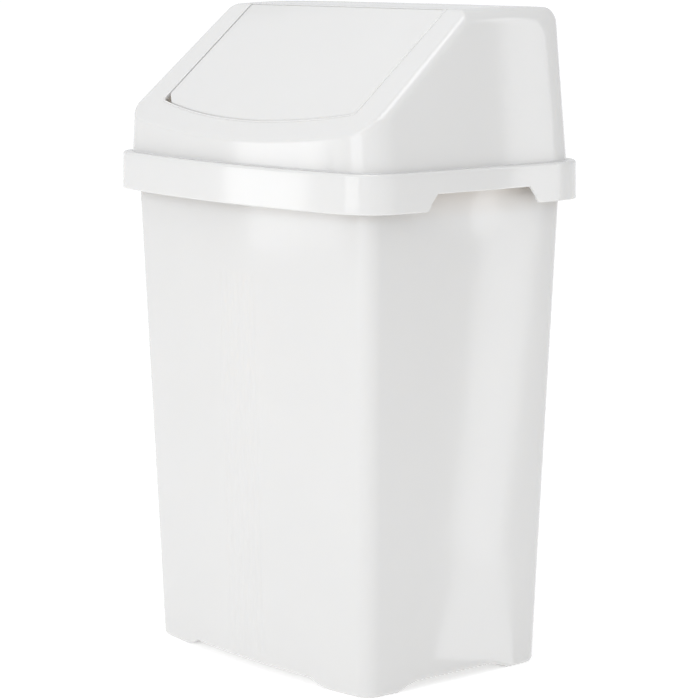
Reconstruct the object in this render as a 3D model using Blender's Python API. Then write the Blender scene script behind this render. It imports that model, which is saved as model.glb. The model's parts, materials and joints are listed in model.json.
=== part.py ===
"""A free-standing swing-top waste bin of moulded plastic: a tapered bin body, a lift-off lid with a sloping
front, and a counterbalanced flap that swings in the slope. Metres, +Z up, front towards -Y, and the origin on
the floor under the middle of the whole bin."""

import math

import bmesh
import bpy
from mathutils import Matrix, Vector

# Overall size
overall_width = 0.4300
overall_depth = 0.3310
overall_height = 0.6800

# Walls and clearances
body_wall = 0.0022
lid_wall = 0.0020
flap_wall = 0.0020
rest_gap = 0.0003
rim_clearance = 0.0035
flap_gap = 0.0014
pin_clearance = 0.0002

# Bows of the faces, from the corner arcs to the middle of a face
front_bow = 0.0147
back_bow = 0.0073
side_bow = 0.0023
hood_front_bow = 0.0132
body_front_bow = 0.0120
inner_side_bow = 0.0019

# Skirt of the lid
skirt_height = 0.0388
skirt_corner = 0.0470
skirt_draft = 0.0008
skirt_edge_round = 0.0028
notch_length = 0.1400
notch_height = 0.0168
notch_end_slant = 0.0075
notch_round = 0.0060

# Hood of the lid, above the skirt
lid_height = 0.1938
ledge_front = 0.0116
ledge_side = 0.0088
ledge_back = 0.0090
hood_side_draft = 0.0131
hood_front_draft = 0.0005
hood_back_draft = 0.0065
front_band_height = 0.0341
slope_angle = math.radians(39.85)
slope_edge_round = 0.0090
knee_round = 0.0050
ridge_round = 0.0040
roof_round = 0.0170
roof_crown = 0.0022

# Flap and its opening in the slope
rail_width = 0.0416
sill_width = 0.0293
sill_curve_rise = 0.0200
opening_corner = 0.0050
flap_corner = 0.0150
flap_top_corner = 0.0030
flap_edge_depth = 0.0070
tail_inset = 0.0009
tail_angle = math.radians(80)
pivot_share = 0.6588
pivot_depth = 0.0070
pin_radius = 0.0030
pin_reach = 0.0080
ear_width = 0.0030
ear_radius = 0.0065
lug_width = 0.0050
lug_length = 0.0150
lug_gap = 0.0020

# Bin body
body_inset = 0.0209
body_corner = 0.0200
body_taper_side = 0.0173
body_taper_end = 0.0142
rim_drop = 0.0100
rim_edge = 0.0020
flare_out = 0.0070
flare_start_corner = 0.0080
flare_start_middle = 0.0380
base_round = 0.0045
foot_height = 0.0080
foot_slope = 0.0210
front_arch_half = 0.0940
side_arch_half = 0.0540
flute_count = 7
flute_pitch = 0.0090
flute_depth = 0.0005
flute_top_drop = 0.0730
flute_foot = 0.0120

# Worked out from the sizes above
roof_z = overall_height - roof_crown
skirt_z = overall_height - lid_height
ledge_z = skirt_z + skirt_height
rim_z = ledge_z - lid_wall - rest_gap
half_width = overall_width / 2 - side_bow
half_depth = (overall_depth - front_bow - back_bow) / 2
middle_y = (front_bow - back_bow) / 2
hood_base_half_width = half_width - ledge_side
hood_front_y = middle_y - half_depth + ledge_front
hood_back_y = middle_y + half_depth - ledge_back
hood_corner = skirt_corner - ledge_side
knee_z = ledge_z + front_band_height
slope_length = (roof_z - knee_z) / math.sin(slope_angle)
opening_half_width = half_width - ledge_side - hood_side_draft / 2 - rail_width
opening_foot = sill_width - hood_front_bow / math.cos(slope_angle)
opening_top = slope_length + 0.0010
flap_half_width = opening_half_width - flap_gap
flap_foot = opening_foot + flap_gap
flap_top = opening_top - flap_gap
pivot_along = flap_foot + (flap_top - flap_foot) * pivot_share
tail_radius = math.hypot(flap_top - pivot_along, pivot_depth) - tail_inset
body_half_width = half_width - body_inset
body_half_depth = half_depth - body_inset
skirt_bows = (front_bow, back_bow, side_bow)
body_bows = (body_front_bow, back_bow, inner_side_bow)

CORNER_STEPS = 6
FRONT_STEPS = 8
SIDE_STEPS = 6
BACK_STEPS = 6
HOOD_MIDDLE_STEPS = 8
HOOD_SIDE_STOPS = (0.0, 0.01, 0.037, 0.084, 0.15, 0.235, 0.35, 0.5, 0.7, 1.0)
OVERCUT = 0.0200


def clear_scene():
    for item in list(bpy.data.objects):
        bpy.data.objects.remove(item, do_unlink=True)


def plastic(name, colour, roughness):
    material = bpy.data.materials.new(name)
    material.use_nodes = True
    shader = material.node_tree.nodes["Principled BSDF"]
    shader.inputs["Base Color"].default_value = (*colour, 1.0)
    shader.inputs["Roughness"].default_value = roughness
    shader.inputs["Metallic"].default_value = 0.0
    return material


def add_object(name, bm, material=None):
    """Puts a bmesh into the scene as an object, its faces pointing out."""
    bmesh.ops.remove_doubles(bm, verts=bm.verts, dist=1e-6)
    bmesh.ops.recalc_face_normals(bm, faces=bm.faces)
    mesh = bpy.data.meshes.new(name)
    bm.to_mesh(mesh)
    bm.free()
    item = bpy.data.objects.new(name, mesh)
    bpy.context.scene.collection.objects.link(item)
    if material:
        mesh.materials.append(material)
    return item


def hide_as_tool(item):
    item.hide_render = True
    item.display_type = "WIRE"
    return item


def boolean(target, tool, operation):
    modifier = target.modifiers.new(f"{operation.lower()}_{tool.name}", "BOOLEAN")
    modifier.operation = operation
    modifier.object = tool
    modifier.solver = "EXACT"
    hide_as_tool(tool)


def smooth(item, angle=30):
    item.data.shade_smooth()
    item.data.set_sharp_from_angle(angle=math.radians(angle))


# ---- Plan outlines -------------------------------------------------------------------------------------


def reach_of(half_chord, bow):
    """Radius of the arc through a bowed face, less the corner radius that meets it on a tangent."""
    return (half_chord**2 + bow**2) / (2 * bow)


def even_stops(count):
    return [2 * k / count - 1 for k in range(count + 1)]


def face_arc(half_chord, bow, corner, distance, stops):
    """Points along a bowed face at stops from -1 to 1, as (along, outwards)."""
    reach = reach_of(half_chord, bow)
    radius = reach + corner
    end = radius * math.sin(math.atan2(half_chord, reach - bow))
    centre = distance + bow - radius
    points = []
    for stop in stops:
        along = stop * end
        points.append((along, centre + math.sqrt(radius**2 - along**2)))
    return points


def outline(a, b, corner, bows, middle, front_stops=None):
    """A rounded rectangle with bowed faces, counter-clockwise from its front left: a and b are the half sizes
    at the ends of the corner arcs, and the face arcs meet the corner arcs on tangents."""
    front_stops = front_stops or even_stops(FRONT_STEPS)
    front, back, side = bows
    chord_x = a - corner
    chord_y = b - corner
    turn_front = math.atan2(chord_x, reach_of(chord_x, front) - front)
    turn_back = math.atan2(chord_x, reach_of(chord_x, back) - back)
    turn_side = math.atan2(chord_y, reach_of(chord_y, side) - side)

    def arc(centre_x, centre_y, start, stop):
        points = []
        for step in range(1, CORNER_STEPS):
            angle = start + (stop - start) * step / CORNER_STEPS
            points.append((centre_x + corner * math.cos(angle), centre_y + corner * math.sin(angle)))
        return points

    quarter = math.pi / 2
    front_face = [(x, -y) for x, y in face_arc(chord_x, front, corner, b, front_stops)]
    right_face = [(x, y) for y, x in face_arc(chord_y, side, corner, a, even_stops(SIDE_STEPS))]
    back_face = [(-x, y) for x, y in face_arc(chord_x, back, corner, b, even_stops(BACK_STEPS))]
    left_face = [(-x, -y) for x, y in right_face]
    points = front_face + arc(chord_x, -chord_y, turn_front - quarter, -turn_side)
    points += right_face + arc(chord_x, chord_y, turn_side, quarter - turn_back)
    points += back_face + arc(-chord_x, chord_y, quarter + turn_back, math.pi - turn_side)
    points += left_face + arc(-chord_x, -chord_y, math.pi + turn_side, 3 * quarter - turn_front)
    return [(x, y + middle) for x, y in points]


def loft(rings):
    """A closed solid through rings of equally many points, with a flat cap at each end."""
    bm = bmesh.new()
    loops = [[bm.verts.new(point) for point in ring] for ring in rings]
    count = len(loops[0])
    for low, high in zip(loops, loops[1:]):
        for k in range(count):
            bm.faces.new((low[k], low[(k + 1) % count], high[(k + 1) % count], high[k]))
    bm.faces.new(list(reversed(loops[0])))
    bm.faces.new(loops[-1])
    return bm


def prism(points, depth, place):
    """A closed prism from an outline in its own X and Y, from 0 to depth along Z, set in place by a matrix."""
    bm = bmesh.new()
    low = [bm.verts.new(place @ Vector((x, y, 0.0))) for x, y in points]
    high = [bm.verts.new(place @ Vector((x, y, depth))) for x, y in points]
    count = len(points)
    for k in range(count):
        bm.faces.new((low[k], low[(k + 1) % count], high[(k + 1) % count], high[k]))
    bm.faces.new(list(reversed(low)))
    bm.faces.new(high)
    return bm


def ease(t):
    t = min(max(t, 0.0), 1.0)
    return t * t * (3 - 2 * t)


# ---- Bin body ------------------------------------------------------------------------------------------


def flute_stops(end):
    """Stops across the front with a column on each crest and each groove of the flutes."""
    band = flute_count * flute_pitch / 2
    side = [-1.0, -(band / end + 3) / 4, -(band / end + 1) / 2]
    middle = [(k - flute_count) * flute_pitch / 2 / end for k in range(2 * flute_count + 1)]
    return side + middle + [-stop for stop in reversed(side)]


def body_ring(z, inset=0.0, extra=0.0, fluted=False):
    """The body's outline at height z, moved inwards by inset or outwards by extra."""
    drop = (skirt_z - z) / skirt_z
    a = body_half_width - body_taper_side * drop - inset + extra
    b = body_half_depth - body_taper_end * drop - inset + extra
    corner = body_corner - inset + extra
    reach = reach_of(a - corner, body_front_bow)
    end = (reach + corner) * math.sin(math.atan2(a - corner, reach - body_front_bow))
    points = outline(a, b, corner, body_bows, middle_y, flute_stops(end))
    side_half = body_half_depth - body_corner
    ring = []
    for index, (x, y) in enumerate(points):
        offset = index - 3
        in_groove = fluted and 0 <= offset <= 2 * flute_count and offset % 2 == 1
        y += flute_depth if in_groove else 0.0
        along = abs(y - middle_y) / side_half
        if along < 1 and abs(x) > body_half_width * 0.5:
            share = math.cos(math.pi / 2 * along) ** 2
            start = skirt_z - flare_start_corner - (flare_start_middle - flare_start_corner) * share
            x += math.copysign(flare_out * share * ease((z - start) / (rim_z - start)), x)
        ring.append((x, y, z))
    return ring


def body_outer():
    rings = []
    for step in range(4):
        angle = math.pi / 2 * step / 3
        rings.append(body_ring(base_round * (1 - math.cos(angle)), base_round * (1 - math.sin(angle))))
    flute_top = skirt_z - flute_top_drop
    rings += [body_ring(flute_foot), body_ring(flute_foot + 0.0010, fluted=True)]
    rings += [body_ring(flute_top - 0.0010, fluted=True), body_ring(flute_top)]
    flare_bottom = skirt_z - flare_start_middle
    flare_steps = 6
    for step in range(flare_steps):
        rings.append(body_ring(flare_bottom + (rim_z - rim_edge - flare_bottom) * step / (flare_steps - 1)))
    rings.append(rim_ring(rim_z - rim_edge, rim_edge))
    rings.append(rim_ring(rim_z - rim_drop, rim_edge))
    rings.append(rim_ring(rim_z - rim_drop, 0.0))
    rings.append(rim_ring(rim_z - 0.0010, 0.0))
    rings.append(rim_ring(rim_z, 0.0010))
    return loft(rings)


def rim_ring(z, inset):
    """The rim's outline: it runs along the inside of the lid's skirt, clear of it, and carries no flare."""
    move = lid_wall + skirt_draft + rim_clearance + inset
    corner = skirt_corner - move
    stops = flute_stops(half_width - move - corner)
    points = outline(half_width - move, half_depth - move, corner, skirt_bows, middle_y, stops)
    return [(x, y, z) for x, y in points]


def arch_profile(half_length, lift):
    """A raised stretch of the base between two feet, as a closed outline in along and up."""
    steps = 6
    slope = []
    for step in range(steps + 1):
        t = step / steps
        slope.append((half_length + foot_slope * (1 - t), foot_height * ease(t) + lift - 0.0004 * (1 - t)))
    low = -OVERCUT
    right = [(half_length + foot_slope, low)] + slope
    return right + [(-x, z) for x, z in reversed(right)]


def arch_tool(name, half_length, lift, across):
    """The raised stretch as a prism right through the base: across is the direction it runs in."""
    depth = max(overall_width, overall_depth) + 2 * OVERCUT
    if across == "Y":
        place = Matrix(((1, 0, 0, 0), (0, 0, 1, middle_y - depth / 2), (0, 1, 0, 0), (0, 0, 0, 1)))
    else:
        place = Matrix(((0, 0, 1, -depth / 2), (1, 0, 0, middle_y), (0, 1, 0, 0), (0, 0, 0, 1)))
    return hide_as_tool(add_object(name, prism(arch_profile(half_length, lift), depth, place)))


def bin_body():
    item = add_object("bin_body", body_outer(), plastic("body_plastic", (0.82, 0.82, 0.81), 0.22))
    zs = [body_wall, body_wall + base_round - 0.001]
    rings = [body_ring(zs[0], body_wall + base_round - 0.001), body_ring(zs[1], body_wall)]
    flare_bottom = skirt_z - flare_start_middle
    for step in range(6):
        z = flare_bottom + (rim_z - flare_bottom) * step / 5
        rings.append(body_ring(z, body_wall))
    rings.append([(x, y, rim_z + OVERCUT) for x, y, z in rings[-1]])
    cavity = add_object("body_cavity", loft(rings))
    boolean(cavity, arch_tool("floor_rise_front", front_arch_half, body_wall, "Y"), "DIFFERENCE")
    boolean(cavity, arch_tool("floor_rise_side", side_arch_half, body_wall, "X"), "DIFFERENCE")
    boolean(item, arch_tool("arch_front", front_arch_half, 0.0, "Y"), "DIFFERENCE")
    boolean(item, arch_tool("arch_side", side_arch_half, 0.0, "X"), "DIFFERENCE")
    boolean(item, cavity, "DIFFERENCE")
    smooth(item)
    return item


# ---- Lid -----------------------------------------------------------------------------------------------


def slope_place(along, depth=0.0):
    """A point on the slope's middle line, along it from the knee and depth below its surface."""
    y = hood_front_y + along * math.cos(slope_angle) + depth * math.sin(slope_angle)
    z = knee_z + along * math.sin(slope_angle) - depth * math.cos(slope_angle)
    return Vector((0.0, y, z))


def slope_matrix(depth=0.0):
    """Own X stays X, own Y runs up the slope, own Z points out of it."""
    c = math.cos(slope_angle)
    s = math.sin(slope_angle)
    start = slope_place(0.0, depth)
    return Matrix(((1, 0, 0, start.x), (0, c, -s, start.y), (0, s, c, start.z), (0, 0, 0, 1)))


def skirt_ring(z, inset):
    move = inset + skirt_draft * (z - skirt_z) / skirt_height
    points = outline(half_width - move, half_depth - move, skirt_corner - move, skirt_bows, middle_y)
    return [(x, y, z) for x, y in points]


def skirt_solid(name, inset):
    """The skirt as a full solid with its ledge, or its inner face when inset by the wall."""
    if inset:
        rings = [skirt_ring(skirt_z - OVERCUT, inset), skirt_ring(ledge_z - inset - 0.0010, inset)]
        rings.append(skirt_ring(ledge_z - inset, inset + 0.0010))
        return hide_as_tool(add_object(name, loft(rings)))
    rings = [skirt_ring(skirt_z, 0.0)]
    for step in range(4):
        angle = math.pi / 2 * step / 3
        rise = skirt_edge_round * (1 - math.sin(angle))
        rings.append(skirt_ring(ledge_z - rise, skirt_edge_round * (1 - math.cos(angle))))
    return add_object(name, loft(rings))


def rounding(radius, distance):
    """How far a surface has fallen away at a distance from the side, where it is rounded by radius."""
    if distance >= radius:
        return 0.0
    return radius - math.sqrt(radius**2 - (radius - distance) ** 2)


def face_line(x, half, corner, bow):
    """How far a bowed face with rounded ends stands out at x, from the line through its corner arcs' ends."""
    x = min(abs(x), half)
    reach = reach_of(half - corner, bow)
    turn = math.atan2(half - corner, reach - bow)
    radius = reach + corner
    if x <= radius * math.sin(turn):
        return bow - radius + math.sqrt(radius**2 - x**2)
    return math.sqrt(max(corner**2 - (x - half + corner) ** 2, 0.0)) - corner


def fillet(corner, before, after, radius, steps):
    """Points of a round in a section, at a corner between two unit directions that meet there."""
    turn = math.acos(before[0] * after[0] + before[1] * after[1])
    tangent = radius * math.tan(turn / 2)
    start = (corner[0] - before[0] * tangent, corner[1] - before[1] * tangent)
    points = []
    for step in range(steps + 1):
        angle = turn * step / steps
        along = radius * math.sin(angle)
        across = radius * (1 - math.cos(angle))
        side = (before[1], -before[0])
        points.append(
            (start[0] + before[0] * along + side[0] * across, start[1] + before[1] * along + side[1] * across)
        )
    return points


def hood_section(front_y, back_y, slope_depth, roof_drop, inset):
    """The hood's upper line in a lengthwise section, as (y, z) from the front wall over to the back wall."""
    c = math.cos(slope_angle)
    s = math.sin(slope_angle)
    base = slope_place(0.0, slope_depth)
    top = roof_z - roof_drop
    knee = (front_y, base.z + (front_y - base.y) * s / c)
    ridge = (base.y + (top - base.z) * c / s, top)
    back = (back_y, top)
    points = fillet(knee, (0.0, 1.0), (c, s), max(knee_round - inset, 0.0015), 3)
    points += fillet(ridge, (c, s), (1.0, 0.0), max(ridge_round - inset, 0.0015), 3)
    span = back_y - (roof_round - inset) - points[-1][0]
    start = points[-1][0]
    points += [(start + span * step / 6, top) for step in range(1, 6)]
    points += fillet(back, (1.0, 0.0), (0.0, -1.0), roof_round - inset, 4)
    crowned = []
    for y, z in points:
        share = min(max((y - ridge[0]) / (back_y - ridge[0]), 0.0), 1.0)
        crowned.append((y, z + roof_crown * 4 * share * (1 - share)))
    return crowned


def hood_solid(name, inset, bottom_z):
    """The hood as a full solid made of lengthwise sections, or its inner face when inset by the wall."""
    corner = hood_corner - inset
    stations = []
    for distance in HOOD_SIDE_STOPS:
        stations.append((-1.0, distance * corner))
    inner = HOOD_MIDDLE_STEPS
    for step in range(1, inner):
        stations.append((2 * step / inner - 1, corner))
    for distance in reversed(HOOD_SIDE_STOPS):
        stations.append((1.0, distance * corner))

    def half_at(z):
        return hood_base_half_width - inset - hood_side_draft * (z - ledge_z) / (roof_z - ledge_z)

    front = hood_front_y + hood_front_draft / 2 + inset
    back = hood_back_y - hood_back_draft - inset
    tops = []
    bottoms = []
    bm = bmesh.new()
    for share, distance in stations:
        half = half_at(knee_z)
        x = share * (half - distance)
        front_y = front - face_line(x, half, corner, hood_front_bow)
        half = half_at(roof_z)
        back_y = back + face_line(share * (half - distance), half, corner, back_bow)
        section = hood_section(
            front_y,
            back_y,
            inset + rounding(slope_edge_round - inset, distance),
            inset + rounding(roof_round - inset, distance),
            inset,
        )

        def place(y, z):
            swell = inner_side_bow * max(1 - ((y - middle_y) / (half_depth - hood_corner)) ** 2, 0.0)
            swell *= 1 - distance / corner
            return (share * (half_at(z) - distance + swell), y, z)

        tops.append([bm.verts.new(place(y, z)) for y, z in section])
        lows = [y for y, z in section]
        lows[0] -= hood_front_draft / 2
        lows[-1] += hood_back_draft
        bottoms.append([bm.verts.new(place(y, bottom_z)) for y in lows])
    last = len(tops[0]) - 1
    for i in range(len(tops) - 1):
        for k in range(last):
            bm.faces.new((tops[i][k], tops[i][k + 1], tops[i + 1][k + 1], tops[i + 1][k]))
            bm.faces.new((bottoms[i][k], bottoms[i + 1][k], bottoms[i + 1][k + 1], bottoms[i][k + 1]))
        bm.faces.new((bottoms[i][0], tops[i][0], tops[i + 1][0], bottoms[i + 1][0]))
        bm.faces.new((tops[i][last], bottoms[i][last], bottoms[i + 1][last], tops[i + 1][last]))
    for i in (0, len(tops) - 1):
        for k in range(last):
            bm.faces.new((bottoms[i][k], bottoms[i][k + 1], tops[i][k + 1], tops[i][k]))
    return hide_as_tool(add_object(name, bm))


def slope_outline(half, foot, top, low_corner, high_corner):
    """An outline on the slope, in across and along: its foot is curved, and its four corners are cut off."""
    curve = sill_curve_rise / opening_half_width**2
    steps = 12
    points = []
    for step in range(steps + 1):
        x = (half - low_corner) * (2 * step / steps - 1)
        points.append((x, foot + curve * x**2))
    side = foot + curve * (half - low_corner) ** 2 + low_corner * 0.85
    points += [(half, side), (half, top - high_corner), (half - high_corner, top)]
    return points + [(high_corner - half, top), (-half, top - high_corner), (-half, side)]


def notch_tool(side):
    """The hand notch in one side of the skirt: slanted ends, and rounded corners at the skirt's edge."""
    half = notch_length / 2
    steps = 4
    right = [(half + notch_round, -OVERCUT), (half + notch_round, 0.0)]
    for step in range(1, steps + 1):
        angle = math.pi / 2 * step / steps
        along = half + notch_round * (1 - math.sin(angle))
        right.append((along, notch_round * (1 - math.cos(angle))))
    right.append((half - notch_end_slant, notch_height - 0.0015))
    right.append((half - notch_end_slant - 0.0015, notch_height))
    points = right + [(-y, z) for y, z in reversed(right)]
    depth = ledge_side + 2 * OVERCUT
    start = side * (half_width + side_bow + OVERCUT)
    place = Matrix(((0, 0, -side, start), (1, 0, 0, middle_y), (0, 1, 0, skirt_z), (0, 0, 0, 1)))
    name = "notch_right" if side > 0 else "notch_left"
    return hide_as_tool(add_object(name, prism(points, depth, place)))


def pivot_point():
    return slope_place(pivot_along, pivot_depth)


def across_cylinder(name, radius, start, stop, sides=16):
    """A cylinder along X around the flap's pivot."""
    centre = pivot_point()
    points = []
    for k in range(sides):
        angle = 2 * math.pi * k / sides
        points.append((radius * math.cos(angle), radius * math.sin(angle)))
    place = Matrix(((0, 0, 1, start), (1, 0, 0, centre.y), (0, 1, 0, centre.z), (0, 0, 0, 1)))
    return add_object(name, prism(points, stop - start, place))


def lug_tool(side):
    """The socket block under one rail of the slope, which the flap's stub pin turns in."""
    low = opening_half_width + lug_gap
    a, b = sorted((side * low, side * (low + lug_width)))
    half = lug_length / 2
    top = -lid_wall / 2
    bottom = -(pivot_depth + half * 0.8)
    points = [(-half, top), (-half, bottom + half * 0.5), (-half * 0.6, bottom)]
    points += [(half * 0.6, bottom), (half, bottom + half * 0.5), (half, top)]
    c = math.cos(slope_angle)
    s = math.sin(slope_angle)
    foot = slope_place(pivot_along)
    place = Matrix(((0, 0, 1, a), (c, -s, 0, foot.y), (s, c, 0, foot.z), (0, 0, 0, 1)))
    name = "lug_right" if side > 0 else "lug_left"
    return hide_as_tool(add_object(name, prism(points, b - a, place)))


def lid_hood():
    item = skirt_solid("lid_hood", 0.0)
    item.data.materials.append(plastic("lid_plastic", (0.83, 0.83, 0.82), 0.22))
    boolean(item, hood_solid("hood_outside", 0.0, ledge_z - 0.0010), "UNION")
    boolean(item, skirt_solid("skirt_inside", lid_wall), "DIFFERENCE")
    boolean(item, hood_solid("hood_inside", lid_wall, ledge_z - lid_wall - 0.0050), "DIFFERENCE")
    window = slope_outline(opening_half_width, opening_foot, opening_top, opening_corner, flap_top_corner)
    opening = add_object("flap_opening", prism(window, 2 * OVERCUT, slope_matrix(OVERCUT)))
    boolean(item, opening, "DIFFERENCE")
    for side in (1, -1):
        boolean(item, notch_tool(side), "DIFFERENCE")
    for side in (1, -1):
        boolean(item, lug_tool(side), "UNION")
    reach = opening_half_width + lug_gap + lug_width + 0.002
    hole = across_cylinder("pin_hole", pin_radius + pin_clearance, -reach, reach)
    boolean(item, hole, "DIFFERENCE")
    smooth(item)
    return item


# ---- Flap ----------------------------------------------------------------------------------------------


def tail_profile():
    """The curved tail in the flap's section: an arc about the pivot from the top edge down and back."""
    centre = pivot_point()
    corner = slope_place(flap_top, 0.0012)
    start = math.atan2(corner.z - centre.z, corner.y - centre.y)
    steps = 12
    outer = []
    inner = []
    reduced = tail_radius - flap_wall
    for step in range(steps + 1):
        angle = start - tail_angle * step / steps
        outer.append((tail_radius * math.cos(angle), tail_radius * math.sin(angle)))
        inner.append((reduced * math.cos(angle), reduced * math.sin(angle)))
    points = outer + list(reversed(inner))
    return [(y + centre.y, z + centre.z) for y, z in points]


def flap_plate(name, inset, low, high):
    """A plate of the flap's outline between two depths below the slope."""
    cut = 0.6 * inset
    points = slope_outline(
        flap_half_width - inset, flap_foot + inset, flap_top - inset, flap_corner - cut, flap_top_corner - cut
    )
    return add_object(name, prism(points, low - high, slope_matrix(low)))


def swing_flap():
    item = flap_plate("swing_flap", 0.0, flap_edge_depth, 0.0)
    item.data.materials.append(plastic("flap_plastic", (0.83, 0.83, 0.82), 0.20))
    pocket = flap_plate("flap_pocket", flap_wall, flap_edge_depth + 0.0020, flap_wall)
    boolean(item, pocket, "DIFFERENCE")
    width = flap_half_width - flap_top_corner
    place = Matrix(((0, 0, 1, -width), (1, 0, 0, 0), (0, 1, 0, 0), (0, 0, 0, 1)))
    tail = add_object("flap_tail", prism(tail_profile(), 2 * width, place))
    boolean(item, tail, "UNION")
    for side in (1, -1):
        name = "right" if side > 0 else "left"
        out = side * (flap_half_width - 0.0004)
        inside = side * (flap_half_width - ear_width)
        ear = across_cylinder(f"ear_{name}", ear_radius, *sorted((out, inside)), sides=20)
        boolean(item, ear, "UNION")
        tip = side * (flap_half_width + pin_reach)
        deep = side * (flap_half_width - ear_width + 0.0005)
        pin = across_cylinder(f"pin_{name}", pin_radius, *sorted((tip, deep)))
        boolean(item, pin, "UNION")
    centre = pivot_point()
    item.data.transform(Matrix.Translation(-centre))
    item.location = centre
    smooth(item)
    return item


clear_scene()
bin_body()
lid_hood()
swing_flap()
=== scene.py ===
"""The looks of a white moulded swing-top waste bin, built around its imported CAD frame.

Metres, +Z up, the front towards -Y. Each of the three mouldings stands in for its CAD node with the same
walls and nearly the same outlines, in smooth fine meshes: sheet edges are rounded, the front carries shallow
flutes, a bead runs round the opening, the flap's gap is finer, and the plastic is faintly wavy."""

import json
import math

import bmesh  # noqa: E402
import bpy  # noqa: E402
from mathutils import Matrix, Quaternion, Vector  # noqa: E402


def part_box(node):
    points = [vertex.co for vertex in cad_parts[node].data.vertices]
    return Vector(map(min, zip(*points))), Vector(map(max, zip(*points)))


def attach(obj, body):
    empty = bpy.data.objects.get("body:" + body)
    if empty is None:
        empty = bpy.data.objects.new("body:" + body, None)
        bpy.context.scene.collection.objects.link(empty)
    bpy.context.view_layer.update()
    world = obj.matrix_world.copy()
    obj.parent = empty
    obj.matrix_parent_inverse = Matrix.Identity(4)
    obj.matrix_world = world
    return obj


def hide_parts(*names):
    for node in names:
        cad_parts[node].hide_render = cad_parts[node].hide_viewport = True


OVERALL_WIDTH = 0.4300

# Bows of the faces, from the corner arcs to the middle of a face
FRONT_BOW = 0.0147
BACK_BOW = 0.0073
SIDE_BOW = 0.0023
HOOD_FRONT_BOW = 0.0132
BODY_FRONT_BOW = 0.0120
INNER_SIDE_BOW = 0.0019

# Lid: skirt, ledge and hood
LID_WALL = 0.0020
SKIRT_HEIGHT = 0.0388
SKIRT_CORNER = 0.0470
SKIRT_DRAFT = 0.0008
SKIRT_EDGE_ROUND = 0.0028
SIDE_BAND = 0.0010  # points this near to the side belong to it and rise over the notch
NOTCH_LENGTH = 0.1400
NOTCH_HEIGHT = 0.0168
NOTCH_END_SLANT = 0.0075
NOTCH_ROUND = 0.0060
NOTCH_TOP_ROUND = 0.0015
NOTCH_TOP_BREAK = 0.0006
LEDGE_FRONT = 0.0116
LEDGE_SIDE = 0.0088
LEDGE_BACK = 0.0090
HOOD_SIDE_DRAFT = 0.0131
HOOD_FRONT_DRAFT = 0.0005
HOOD_BACK_DRAFT = 0.0065
FRONT_BAND_HEIGHT = 0.0341
SLOPE_ANGLE = math.radians(39.85)
SLOPE_EDGE_ROUND = 0.0090
KNEE_ROUND = 0.0050
RIDGE_ROUND = 0.0040
ROOF_ROUND = 0.0170
ROOF_CROWN = 0.0022
ROOT_ROUND = 0.0014
ROOT_DIP = 0.0002
LEAST_ROUND = 0.0015
SEAT_INSET = 0.0098
SEAT_SQUASH = 0.0028

# Opening and flap
RAIL_WIDTH = 0.0416
SILL_WIDTH = 0.0293
SILL_CURVE_RISE = 0.0200
CORNER_CUT = 0.85  # along the slope for each metre across, at the cut lower corners
OPENING_CORNER = 0.0050
OPENING_PAST_RIDGE = 0.0010
OPENING_LIP = 0.0022
OPENING_LIP_DEPTH = 0.0036
ROOF_LIP = 0.0006
LIP_BEAD = 0.0009
LIP_EDGE = 0.0006
WINDOW_CLEARANCE = 0.0020
SILL_LEAST = 0.0004
FLAP_GAP = 0.0008
FLAP_CORNER = 0.0150
FLAP_RIGHT_CORNER = 0.0040
FLAP_TOP_CORNER = 0.0010
FLAP_SOFT_CORNER = 0.0045
FLAP_LEAST_SOFT = 0.0008
SOFT_FROM = math.radians(8)  # a corner that turns by less is left as it is
SOFT_SHARE = 0.45  # a rounded corner takes up no more of the sides beside it than this
FLAP_CORNER_SHRINK = 0.6
FLAP_LEAST_CORNER = 0.0005
FLAP_WALL = 0.0020
FLAP_EDGE_DEPTH = 0.0070
FLAP_EDGE_ROUND = 0.0020
FLAP_LIP_ROUND = 0.0006
FLAP_INNER_ROUND = 0.0010
TAIL_INSET = 0.0009
TAIL_DEPTH = 0.0012
TAIL_EDGE = 0.0006
TAIL_ANGLE = math.radians(80)
PIVOT_DEPTH = 0.0070
PIN_RADIUS = 0.0030
PIN_REACH = 0.0080
PIN_CLEARANCE = 0.0002
PIN_ROOT = 0.0005
PIN_TIP = 0.0006
EAR_WIDTH = 0.0030
EAR_RADIUS = 0.0065
EAR_EDGE = 0.0004
LUG_GAP = 0.0020
LUG_WIDTH = 0.0050
LUG_LENGTH = 0.0150
LUG_EDGE = 0.0005
LUG_ROUND = 0.8  # how deep the lug's rounded side is, for half its length
LUG_FLAT = 0.35  # the sine from which its other side lies flat against the rail
LUG_SQUARE = 1.6  # how far that side is pushed out to square corners

# Body
BODY_WALL = 0.0022
BODY_INSET = 0.0209
BODY_CORNER = 0.0200
BODY_TAPER_SIDE = 0.0173
BODY_TAPER_END = 0.0142
RIM_DROP = 0.0100
RIM_EDGE = 0.0020
RIM_CLEARANCE = 0.0035
RIM_ROOT_ROUND = 0.0008
RIM_LIP_ROUND = 0.0006
RIM_TOP_ROUND = 0.0015
RIM_INNER_ROUND = 0.0010
RIM_INNER_BREAK = 0.0003
RIM_INNER_DROP = 0.0012
REST_GAP = 0.0003
FLARE_OUT = 0.0070
FLARE_START_CORNER = 0.0080
FLARE_START_MIDDLE = 0.0380
BASE_ROUND = 0.0045
FLOOR_ROUND = 0.0035
LIFT_FADE = 0.0600
FOOT_HEIGHT = 0.0080
FOOT_SLOPE = 0.0210
FRONT_ARCH_HALF = 0.0940
SIDE_ARCH_HALF = 0.0540
FLUTE_COUNT = 7
FLUTE_PITCH = 0.0090
FLUTE_DEPTH = 0.0005
FLUTE_TOP_DROP = 0.0730
FLUTE_FADE = 0.0100

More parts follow.
